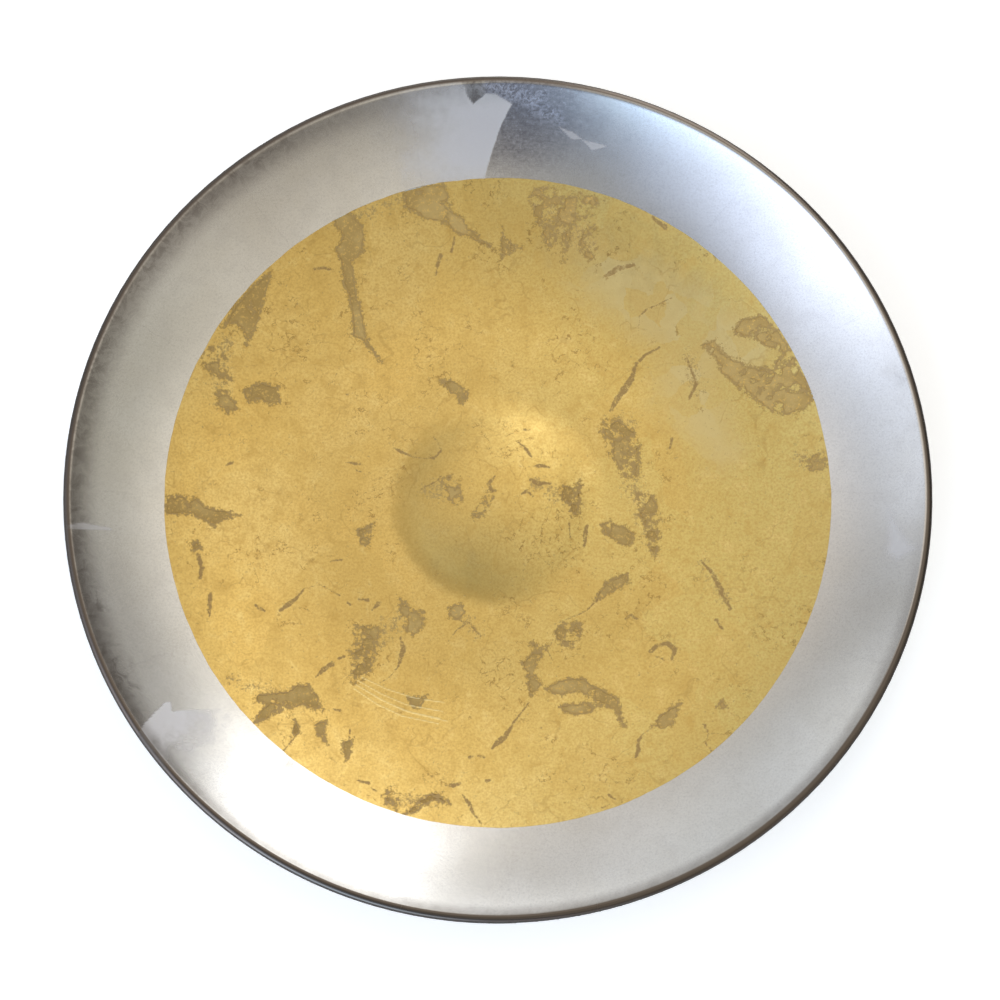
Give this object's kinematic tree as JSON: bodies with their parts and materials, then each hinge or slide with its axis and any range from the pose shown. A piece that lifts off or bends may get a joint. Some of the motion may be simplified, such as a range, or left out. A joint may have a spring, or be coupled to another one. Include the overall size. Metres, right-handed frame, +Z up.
{
  "type": "glass platter",
  "caption": "Round dished glass platter with a raised centre and rounded lip, gilded with a gold-coloured disc inside a silver-coloured rim.",
  "frame": {"origin": "on the table, at the centre of the flat foot ring", "axes": "+Z up along the platter's axis, -Y towards the viewer of the picture, +X to the viewer's right"},
  "size_m": [0.4, 0.4, 0.0366],
  "materials": {
    "glass": "clear, fire-polished",
    "gold_leaf": "satin leaf, torn and rubbed, lacquered",
    "silver_leaf": "satin leaf, brushed and tarnished, lacquered",
    "gold_ground": "matt taupe paint",
    "silver_ground": "satin pale grey paint"
  },
  "bodies": {
    "root": {"glass_platter": "glass", "gold_ground": "gold_ground", "silver_ground": "silver_ground", "gold_leaf_front_left": "gold_leaf", "gold_leaf_front": "gold_leaf", "gold_leaf_front_right": "gold_leaf", "gold_leaf_left": "gold_leaf", "gold_leaf_centre": "gold_leaf", "gold_leaf_right": "gold_leaf", "gold_leaf_back_left": "gold_leaf", "gold_leaf_back": "gold_leaf", "gold_leaf_back_right": "gold_leaf", "silver_leaf_01": "silver_leaf", "silver_leaf_02": "silver_leaf", "silver_leaf_03": "silver_leaf", "silver_leaf_04": "silver_leaf", "silver_leaf_05": "silver_leaf", "silver_leaf_06": "silver_leaf", "silver_leaf_07": "silver_leaf", "silver_leaf_08": "silver_leaf", "silver_leaf_09": "silver_leaf", "silver_leaf_10": "silver_leaf", "silver_leaf_11": "silver_leaf", "silver_leaf_12": "silver_leaf", "silver_leaf_13": "silver_leaf", "silver_leaf_14": "silver_leaf"}
  },
  "joints": []
}
